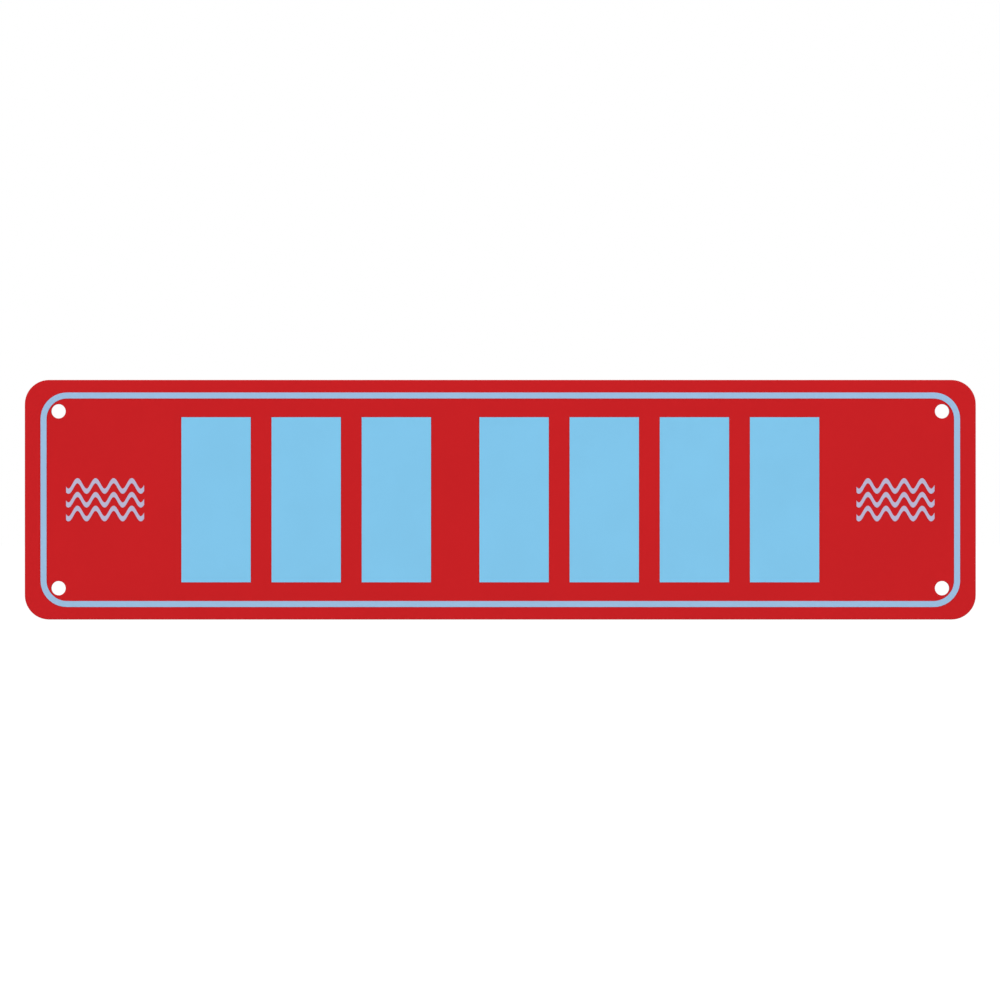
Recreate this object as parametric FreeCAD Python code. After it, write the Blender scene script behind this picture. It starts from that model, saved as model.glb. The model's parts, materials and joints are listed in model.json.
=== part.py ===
import FreeCAD, Part
import math
import os

# A street name sign: a flat aluminium plate with a screw hole in each corner, and a face of
# cut film that is stuck to its front. The film makes a border line, three wavy lines at each
# end and a legend, which here is a row of plain upright blocks.
#
# Millimetres. X runs along the sign and Z is up. The origin is the centre of the back face,
# which lies against the wall at y = 0, and the front faces -Y.

# Plate
PLATE_WIDTH = 400.0
PLATE_HEIGHT = 100.8
PLATE_THICKNESS = 2.0
PLATE_CORNER_RADIUS = 10.2
PLATE_EDGE_BREAK = 0.3

# Screw holes, placed from the plate's sides and from its top and bottom
HOLE_DIAMETER = 6.0
HOLE_INSET_SIDE = 14.2
HOLE_INSET_TOP = 13.2
HOLE_EDGE_BREAK = 0.2

# Film
FILM_THICKNESS = 0.2

# Border line, placed from the plate's edges
BORDER_INSET_SIDE = 6.65
BORDER_INSET_TOP = 5.3
BORDER_WIDTH = 2.5
BORDER_CORNER_RADIUS = 11.1

# Wavy lines: the rise is from trough to crest, the stroke is measured upright at a crest or
# trough, and a strip runs on past its outermost troughs. The handles are shares of a half wave.
WAVE_PERIOD = 7.6
WAVE_PERIODS = 4
WAVE_RISE = 4.4
WAVE_STROKE = 2.15
WAVE_HANDLE_OUTSIDE = 0.41
WAVE_HANDLE_INSIDE = 0.32
WAVE_LEAD_IN = 1.0
WAVE_RUN_OUT = 1.4
WAVE_PITCH = 5.8
WAVE_GAP_TO_BORDER = 8.25

# Legend blocks: groups of three and four between the waves
LEGEND_GROUPS = (3, 4)
LEGEND_GAP_TO_WAVES = 15.7
LEGEND_GAP_TO_BORDER = 7.9
LEGEND_GAP_IN_GROUP = 8.8
LEGEND_GAP_BETWEEN_GROUPS = 20.4

# Worked out from the sizes above
PLATE_FRONT = -PLATE_THICKNESS
FILM_FRONT = PLATE_FRONT - FILM_THICKNESS
HOLE_X = PLATE_WIDTH / 2 - HOLE_INSET_SIDE
HOLE_Z = PLATE_HEIGHT / 2 - HOLE_INSET_TOP
BORDER_OUTER_WIDTH = PLATE_WIDTH - 2 * BORDER_INSET_SIDE
BORDER_OUTER_HEIGHT = PLATE_HEIGHT - 2 * BORDER_INSET_TOP
BORDER_INNER_WIDTH = BORDER_OUTER_WIDTH - 2 * BORDER_WIDTH
BORDER_INNER_HEIGHT = BORDER_OUTER_HEIGHT - 2 * BORDER_WIDTH
HALF_WAVE = WAVE_PERIOD / 2
WAVE_RUN = WAVE_LEAD_IN + WAVE_PERIODS * WAVE_PERIOD + WAVE_RUN_OUT
WAVE_OUTER_END = BORDER_INNER_WIDTH / 2 - WAVE_GAP_TO_BORDER
WAVE_INNER_END = WAVE_OUTER_END - WAVE_RUN
LEGEND_WIDTH = 2 * (WAVE_INNER_END - LEGEND_GAP_TO_WAVES)
LEGEND_HEIGHT = BORDER_INNER_HEIGHT - 2 * LEGEND_GAP_TO_BORDER


def lies_along_y(direction):
    """True for a direction along Y, as against one in the plane of the sign."""
    return abs(direction.y) > 0.5


def rounded_slab(width, height, thickness, corner_radius, back):
    """A slab centred on X and Z, with its back face at y = back and rounded corners."""
    corner = FreeCAD.Vector(-width / 2, back - thickness, -height / 2)
    slab = Part.makeBox(width, thickness, height, corner)
    corner_edges = [edge for edge in slab.Edges if lies_along_y(edge.tangentAt(0))]
    return slab.makeFillet(corner_radius, corner_edges)


def screw_hole_drills():
    """One drill through plate and film at each corner."""
    length = PLATE_THICKNESS + FILM_THICKNESS
    drills = []
    for x in (-HOLE_X, HOLE_X):
        for z in (-HOLE_Z, HOLE_Z):
            start = FreeCAD.Vector(x, 0, z)
            forward = FreeCAD.Vector(0, -1, 0)
            drills.append(Part.makeCylinder(HOLE_DIAMETER / 2, length, start, forward))
    return drills


def flat_face_edges(plate, outside):
    """The edges of the front and back faces: those round their outside, or those of their holes."""
    edges = []
    for face in plate.Faces:
        if face.Surface.TypeId == "Part::GeomPlane" and lies_along_y(face.normalAt(0, 0)):
            for wire in face.Wires:
                if wire.isSame(face.OuterWire) == outside:
                    edges.extend(wire.Edges)
    return edges


def sign_plate():
    """The sheet with its corners rounded, its holes drilled and its edges deburred."""
    sheet = rounded_slab(PLATE_WIDTH, PLATE_HEIGHT, PLATE_THICKNESS, PLATE_CORNER_RADIUS, 0)
    plate = sheet.cut(screw_hole_drills())
    plate = plate.makeChamfer(PLATE_EDGE_BREAK, flat_face_edges(plate, outside=True))
    return plate.makeChamfer(HOLE_EDGE_BREAK, flat_face_edges(plate, outside=False))


def border_line():
    """A ring of film, even in width all the way round."""
    outer = rounded_slab(BORDER_OUTER_WIDTH, BORDER_OUTER_HEIGHT, FILM_THICKNESS,
                         BORDER_CORNER_RADIUS, PLATE_FRONT)
    inner = rounded_slab(BORDER_INNER_WIDTH, BORDER_INNER_HEIGHT, FILM_THICKNESS,
                         BORDER_CORNER_RADIUS - BORDER_WIDTH, PLATE_FRONT)
    return outer.cut([inner] + screw_hole_drills())


def wave_turn(left_end, height, side, index):
    """A turn in an edge of a strip, and its level handle. Even turns are troughs, odd ones crests.

    side is 1 for the upper edge and -1 for the lower one. The handle is long where the edge goes
    round the outside of a bend and short on the inside, so the stroke swells on the slopes.
    """
    bend = 1 if index % 2 else -1
    x = left_end + WAVE_LEAD_IN + index * HALF_WAVE
    z = height + bend * WAVE_RISE / 2 + side * WAVE_STROKE / 2
    handle = WAVE_HANDLE_OUTSIDE if bend == side else WAVE_HANDLE_INSIDE
    return FreeCAD.Vector(x, PLATE_FRONT, z), FreeCAD.Vector(handle * HALF_WAVE, 0, 0)


def wave_edge(left_end, height, side):
    """An edge of a strip: one curve for each half wave, from before its left end to past its right."""
    first = -math.ceil(WAVE_LEAD_IN / HALF_WAVE)
    last = 2 * WAVE_PERIODS + math.ceil(WAVE_RUN_OUT / HALF_WAVE)
    half_waves = []
    for index in range(first, last):
        start, start_handle = wave_turn(left_end, height, side, index)
        end, end_handle = wave_turn(left_end, height, side, index + 1)
        curve = Part.BezierCurve()
        curve.setPoles([start, start + start_handle, end - end_handle, end])
        half_waves.append(curve.toShape())
    return Part.Wire(half_waves)


def wave_strip(left_end, height):
    """A wavy strip of film, cut off upright at both ends."""
    upper = wave_edge(left_end, height, 1)
    lower = wave_edge(left_end, height, -1)
    closers = [Part.makeLine(lower.Vertexes[end].Point, upper.Vertexes[end].Point) for end in (0, -1)]
    outline = Part.Wire(Part.sortEdges(upper.Edges + lower.Edges + closers)[0])
    tall = 2 * (WAVE_RISE + WAVE_STROKE)
    corner = FreeCAD.Vector(left_end, FILM_FRONT, height - tall / 2)
    window = Part.makeBox(WAVE_RUN, 2 * FILM_THICKNESS, tall, corner)
    return Part.Face(outline).common(window).Faces[0].extrude(FreeCAD.Vector(0, -FILM_THICKNESS, 0))


def wave_strips():
    """Three strips at each end. Both ends wave in step, so the right set is the left one, moved."""
    strips = {}
    for end, left_end in (("left", -WAVE_OUTER_END), ("right", WAVE_INNER_END)):
        for row, height in (("top", WAVE_PITCH), ("middle", 0), ("bottom", -WAVE_PITCH)):
            strips[f"{end}_wave_{row}"] = wave_strip(left_end, height)
    return strips


def legend_blocks():
    """Equal upright blocks that fill the legend's width, less the gaps between them."""
    count = sum(LEGEND_GROUPS)
    group_gaps = len(LEGEND_GROUPS) - 1
    inner_gaps = count - 1 - group_gaps
    gaps = inner_gaps * LEGEND_GAP_IN_GROUP + group_gaps * LEGEND_GAP_BETWEEN_GROUPS
    block_width = (LEGEND_WIDTH - gaps) / count
    blocks = {}
    left = -LEGEND_WIDTH / 2
    for group_size in LEGEND_GROUPS:
        for _ in range(group_size):
            corner = FreeCAD.Vector(left, FILM_FRONT, -LEGEND_HEIGHT / 2)
            block = Part.makeBox(block_width, FILM_THICKNESS, LEGEND_HEIGHT, corner)
            blocks[f"legend_block_{len(blocks) + 1}"] = block
            left += block_width + LEGEND_GAP_IN_GROUP
        left += LEGEND_GAP_BETWEEN_GROUPS - LEGEND_GAP_IN_GROUP
    return blocks


def main():
    parts = {"sign_plate": sign_plate(), "border_line": border_line()}
    parts.update(wave_strips())
    parts.update(legend_blocks())
    os.makedirs("parts", exist_ok=True)
    for name, shape in parts.items():
        shape.exportStep(f"parts/{name}.step")


main()
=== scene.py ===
"""The looks of a street name sign: red paint on aluminium sheet, with pale cut film on its front.

Metres. X runs along the sign, Z is up, the back face lies at y = 0 and the front faces -Y.
"""

import json
import math

import bpy
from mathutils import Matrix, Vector


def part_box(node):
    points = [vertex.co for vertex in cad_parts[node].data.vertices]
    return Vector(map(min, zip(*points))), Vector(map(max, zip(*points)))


# Camera: straight on, through a long lens. The photograph is 1000 pixels wide and high, and the
# plate's width and centre in it are in pixels.
PICTURE = 1000
PLATE_IN_PICTURE = 951.1
PLATE_CENTRE_IN_PICTURE = (500.3, 499.75)
LENS_MM = 200.0
SENSOR_MM = 36.0

# Light: two soft boxes in front, one behind, and an even sky
WHITE = (1.0, 1.0, 1.0)
SKY_STRENGTH = 0.55
SKY_STRENGTH_IN_VIEW = 1.0
FRONT_BOX_PLACE = (1.9, -2.2, 1.6)
FRONT_BOX_SIZE = 0.8
FRONT_BOX_POWER = 30.0
BACK_BOX_PLACE = (0.4, 2.4, 1.8)
BACK_BOX_SIZE = 1.6
BACK_BOX_POWER = 12.0

# Floor, below the sign. Its glow is low near the sign, where the shadow lies, and full far off:
# it rises between the two distances of FLOOR_GLOW_RISES.
FLOOR_HEIGHT = -0.27
FLOOR_SPAN = 60.0
FLOOR_COLOUR = (0.8, 0.8, 0.8)
FLOOR_ROUGHNESS = 1.0
FLOOR_SPECULAR = 0.0
FLOOR_GLOW = (0.22, 0.6)
FLOOR_GLOW_RISES = (0.35, 0.85)

# Noise: a scale is so many bumps to the metre, and most of the noise lies within NOISE_RANGE.
# From here on a pair of numbers is a lowest and a highest value, which noise wanders between.
NOISE_RANGE = (0.3, 0.7)
NOISE_DETAIL = 2.0
NO_STRETCH = (1, 1, 1)

# Red paint. It wraps over the front's broken edge, to a line that wavers a little.
PAINT_RED = (0.556, 0.0092, 0.0122)
PAINT_TONE = (0.985, 1.015)
PAINT_TONE_SCALE = 25
PAINT_ROUGHNESS = (0.38, 0.46)
PAINT_ROUGHNESS_SCALE = 60
PAINT_PEEL_SCALE = 900
PAINT_WRAP = 0.0004
PAINT_WAVER = 0.0001
PAINT_WAVER_SCALE = 300

# Bare aluminium. Grain and cloud mark the flat back, and shear marks what is cut. A face is flat
# where more than FLAT_FACE of its unit normal lies along Y.
BARE_METAL = (0.47, 0.48, 0.49)
GRAIN_SCALE = 900
GRAIN_STRETCH = (0.01, 1, 1)
GRAIN_DETAIL = 4.0
GRAIN_TONE = (0.95, 1.03)
GRAIN_ROUGHNESS = (0.30, 0.38)
CLOUD_SCALE = 18
CLOUD_TONE = (0.96, 1.02)
CLOUD_ROUGHNESS = (0.0, 0.08)
SHEAR_SCALE = 2000
SHEAR_STRETCH = (1, 0.05, 1)
SHEAR_TONE = (0.78, 0.90)
SHEAR_ROUGHNESS = (0.66, 0.78)
FLAT_FACE = 0.9

# The painted sheet as a whole
SHEET_RELIEF = 0.000004
SHEET_SPECULAR = 0.1

# Cut film
FILM_COLOURS = {
    "border_film": (0.314, 0.497, 0.716),
    "wave_film": (0.479, 0.451, 0.624),
    "legend_film": (0.201, 0.547, 0.815),
}
FILM_TONE = (0.985, 1.015)
FILM_TONE_SCALE = 40
FILM_ROUGHNESS = (0.32, 0.40)
FILM_ROUGHNESS_SCALE = 120
FILM_RIPPLE_SCALE = 250
FILM_RIPPLE = 0.00001
FILM_SPECULAR = 0.3


class Nodes:
    """The node tree of a material or of the world.

    A value that is fed to an input is a plain one, which is set, or an output, which is linked.
    """

    def __init__(self, owner):
        owner.use_nodes = True
        self.tree = owner.node_tree

    def feed(self, node, values):
        """Feeds a node's inputs, which are given by name or by number."""
        for key, value in values.items():
            if isinstance(value, bpy.types.NodeSocket):
                self.tree.links.new(value, node.inputs[key])
            else:
                node.inputs[key].default_value = value

    def add(self, kind, values=None, **settings):
        node = self.tree.nodes.new(kind)
        for name, setting in settings.items():
            setattr(node, name, setting)
        self.feed(node, values or {})
        return node

    def math(self, operation, *values):
        node = self.add("ShaderNodeMath", dict(enumerate(values)), operation=operation)
        return node.outputs["Value"]

    def spread(self, source, target, start=NOISE_RANGE, curve="LINEAR"):
        """source, which lies between the two values of start, brought between those of target."""
        ends = {"From Min": start[0], "From Max": start[1], "To Min": target[0], "To Max": target[1]}
        node = self.add("ShaderNodeMapRange", {"Value": source, **ends}, interpolation_type=curve)
        return node.outputs["Result"]

    def seen_directly(self):
        """1 for rays from the camera, mirrors and glass, and 0 for the rays that light a surface."""
        rays = self.add("ShaderNodeLightPath").outputs
        camera_or_mirror = self.math("MAXIMUM", rays["Is Camera Ray"], rays["Is Glossy Ray"])
        return self.math("MAXIMUM", camera_or_mirror, rays["Is Transmission Ray"])


class Surface(Nodes):
    """A new material. place is where a point lies on the object, and facing is its normal."""

    def __init__(self, name):
        self.material = bpy.data.materials.new(name)
        super().__init__(self.material)
        coordinates = self.add("ShaderNodeTexCoord").outputs
        self.place = coordinates["Object"]
        self.facing = coordinates["Normal"]

    def noise(self, scale, stretch=NO_STRETCH, detail=NOISE_DETAIL):
        """Noise that is drawn out along an axis where stretch is small."""
        mapping = self.add("ShaderNodeMapping", {"Vector": self.place, "Scale": stretch})
        vector = mapping.outputs["Vector"]
        noise = self.add("ShaderNodeTexNoise", {"Vector": vector, "Scale": scale, "Detail": detail})
        return noise.outputs["Fac"]

    def along_y(self, vector):
        return self.add("ShaderNodeSeparateXYZ", {"Vector": vector}).outputs["Y"]

    def shade(self, colour, tone):
        """colour, made lighter and darker by tone."""
        node = self.add("ShaderNodeVectorMath", {0: colour, "Scale": tone}, operation="SCALE")
        return node.outputs["Vector"]

    def blend(self, factor, first, second, kind="FLOAT"):
        """first where factor is 0 and second where it is 1."""
        node = self.add("ShaderNodeMix", data_type=kind)
        keys = [key for key, socket in enumerate(node.inputs) if socket.enabled]
        self.feed(node, dict(zip(keys, (factor, first, second))))
        return next(socket for socket in node.outputs if socket.enabled)

    def relief(self, height, depth):
        """The normal of a surface with bumps of this depth."""
        return self.add("ShaderNodeBump", {"Height": height, "Distance": depth}).outputs["Normal"]

    def finish(self, values):
        """Feeds the material's shader and gives the material."""
        self.feed(self.tree.nodes["Principled BSDF"], values)
        return self.material


def red_paint(surface):
    """Colour, roughness and relief of satin paint with a little orange peel."""
    tone = surface.spread(surface.noise(PAINT_TONE_SCALE), PAINT_TONE)
    roughness = surface.spread(surface.noise(PAINT_ROUGHNESS_SCALE), PAINT_ROUGHNESS)
    return surface.shade(PAINT_RED, tone), roughness, surface.noise(PAINT_PEEL_SCALE)


def bare_aluminium(surface):
    """Colour, roughness and relief of sheet: long grain on its flat back, duller where it is cut."""
    grain = surface.noise(GRAIN_SCALE, GRAIN_STRETCH, GRAIN_DETAIL)
    cloud = surface.noise(CLOUD_SCALE)
    shear = surface.noise(SHEAR_SCALE, SHEAR_STRETCH)
    facing_y = surface.math("ABSOLUTE", surface.along_y(surface.facing))
    flat = surface.math("GREATER_THAN", facing_y, FLAT_FACE)
    flat_tone = surface.math(
        "MULTIPLY", surface.spread(grain, GRAIN_TONE), surface.spread(cloud, CLOUD_TONE))
    flat_roughness = surface.math(
        "ADD", surface.spread(grain, GRAIN_ROUGHNESS), surface.spread(cloud, CLOUD_ROUGHNESS))
    tone = surface.blend(flat, surface.spread(shear, SHEAR_TONE), flat_tone)
    roughness = surface.blend(flat, surface.spread(shear, SHEAR_ROUGHNESS), flat_roughness)
    return surface.shade(BARE_METAL, tone), roughness, grain


def painted_sheet():
    """Red paint on the front, wrapped over its broken edge, and bare aluminium elsewhere."""
    surface = Surface("painted_sheet")
    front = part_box("sign_plate")[0].y
    paint_ends = (front + PAINT_WRAP - PAINT_WAVER, front + PAINT_WRAP + PAINT_WAVER)
    edge = surface.spread(surface.noise(PAINT_WAVER_SCALE), paint_ends)
    painted = surface.math("LESS_THAN", surface.along_y(surface.place), edge)
    metal_colour, metal_roughness, grain = bare_aluminium(surface)
    paint_colour, paint_roughness, peel = red_paint(surface)
    return surface.finish({
        "Base Color": surface.blend(painted, metal_colour, paint_colour, "RGBA"),
        "Roughness": surface.blend(painted, metal_roughness, paint_roughness),
        "Metallic": surface.blend(painted, 1.0, 0.0),
        "Normal": surface.relief(surface.blend(painted, grain, peel), SHEET_RELIEF),
        "Specular IOR Level": SHEET_SPECULAR,
    })


def cut_film(slot):
    """Smooth coloured film with the faint ripple that it has when it is laid by hand."""
    surface = Surface(slot)
    tone = surface.spread(surface.noise(FILM_TONE_SCALE), FILM_TONE)
    return surface.finish({
        "Base Color": surface.shade(FILM_COLOURS[slot], tone),
        "Roughness": surface.spread(surface.noise(FILM_ROUGHNESS_SCALE), FILM_ROUGHNESS),
        "Normal": surface.relief(surface.noise(FILM_RIPPLE_SCALE), FILM_RIPPLE),
        "Specular IOR Level": FILM_SPECULAR,
    })


def finish_nodes(frame):
    """Gives every CAD node the finish of its slot in the record."""
    finishes = {slot: cut_film(slot) for slot in FILM_COLOURS}
    finishes["painted_plate"] = painted_sheet()
    for subpart in frame["record"]["subparts"]:
        mesh = frame["nodes"][subpart["node"]].data
        mesh.materials.clear()
        mesh.materials.append(finishes[subpart["material_slot"]])


def sky():
    """White to look at, and softer as a light."""
    world = bpy.data.worlds.new("sky")
    bpy.context.scene.world = world
    nodes = Nodes(world)
    strength = nodes.spread(nodes.seen_directly(), (SKY_STRENGTH, SKY_STRENGTH_IN_VIEW), (0.0, 1.0))
    nodes.feed(nodes.tree.nodes["Background"], {"Color": (*WHITE, 1), "Strength": strength})


def floor_finish():
    """Pale and matt, and white to look at away from the sign's shadow."""
    surface = Surface("floor")
    length = surface.add("ShaderNodeVectorMath", {0: surface.place}, operation="LENGTH")
    glow = surface.spread(length.outputs["Value"], FLOOR_GLOW, FLOOR_GLOW_RISES, "SMOOTHSTEP")
    return surface.finish({
        "Base Color": (*FLOOR_COLOUR, 1),
        "Roughness": FLOOR_ROUGHNESS,
        "Specular IOR Level": FLOOR_SPECULAR,
        "Emission Color": (*WHITE, 1),
        "Emission Strength": surface.math("MULTIPLY", surface.seen_directly(), glow),
    })


def floor():
    """A plain plane below the sign."""
    bpy.ops.mesh.primitive_plane_add(size=FLOOR_SPAN, location=(0, 0, FLOOR_HEIGHT))
    plane = bpy.context.object
    plane.name = "floor"
    plane.data.materials.append(floor_finish())


def soft_box(name, place, size, power):
    """A square soft box that faces the sign."""
    light = bpy.data.lights.new(name, "AREA")
    light.size = size
    light.energy = power
    box = bpy.data.objects.new(name, light)
    box.location = place
    box.rotation_euler = (-Vector(place)).to_track_quat("-Z", "Y").to_euler()
    bpy.context.scene.collection.objects.link(box)


def lights():
    """The front boxes stand alike on both sides, and the other one behind the sign."""
    x, y, z = FRONT_BOX_PLACE
    soft_box("front_right_box", (x, y, z), FRONT_BOX_SIZE, FRONT_BOX_POWER)
    soft_box("front_left_box", (-x, y, z), FRONT_BOX_SIZE, FRONT_BOX_POWER)
    soft_box("back_box", BACK_BOX_PLACE, BACK_BOX_SIZE, BACK_BOX_POWER)


def camera():
    """Looks along +Y, from where the plate is as wide in the picture as in the photograph."""
    low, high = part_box("sign_plate")
    pixel = (high.x - low.x) / PLATE_IN_PICTURE
    distance = PICTURE * pixel * LENS_MM / SENSOR_MM
    across, down = PLATE_CENTRE_IN_PICTURE
    data = bpy.data.cameras.new("camera")
    data.lens = LENS_MM
    data.sensor_width = SENSOR_MM
    view = bpy.data.objects.new("camera", data)
    view.location = ((PICTURE / 2 - across) * pixel, low.y - distance, (down - PICTURE / 2) * pixel)
    view.rotation_euler = (math.radians(90), 0, 0)
    bpy.context.scene.collection.objects.link(view)
    bpy.context.scene.camera = view


with open("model.json") as file:
    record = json.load(file)
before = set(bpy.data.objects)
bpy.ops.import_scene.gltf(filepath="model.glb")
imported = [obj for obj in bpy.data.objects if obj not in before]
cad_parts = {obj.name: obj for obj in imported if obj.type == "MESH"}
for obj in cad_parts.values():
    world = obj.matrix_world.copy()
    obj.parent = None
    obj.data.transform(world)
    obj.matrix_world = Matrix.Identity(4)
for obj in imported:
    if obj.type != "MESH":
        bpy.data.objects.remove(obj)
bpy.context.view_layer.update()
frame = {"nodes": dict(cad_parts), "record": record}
bpy.context.scene.view_settings.view_transform = "Standard"
camera()
sky()
lights()
floor()
finish_nodes(frame)
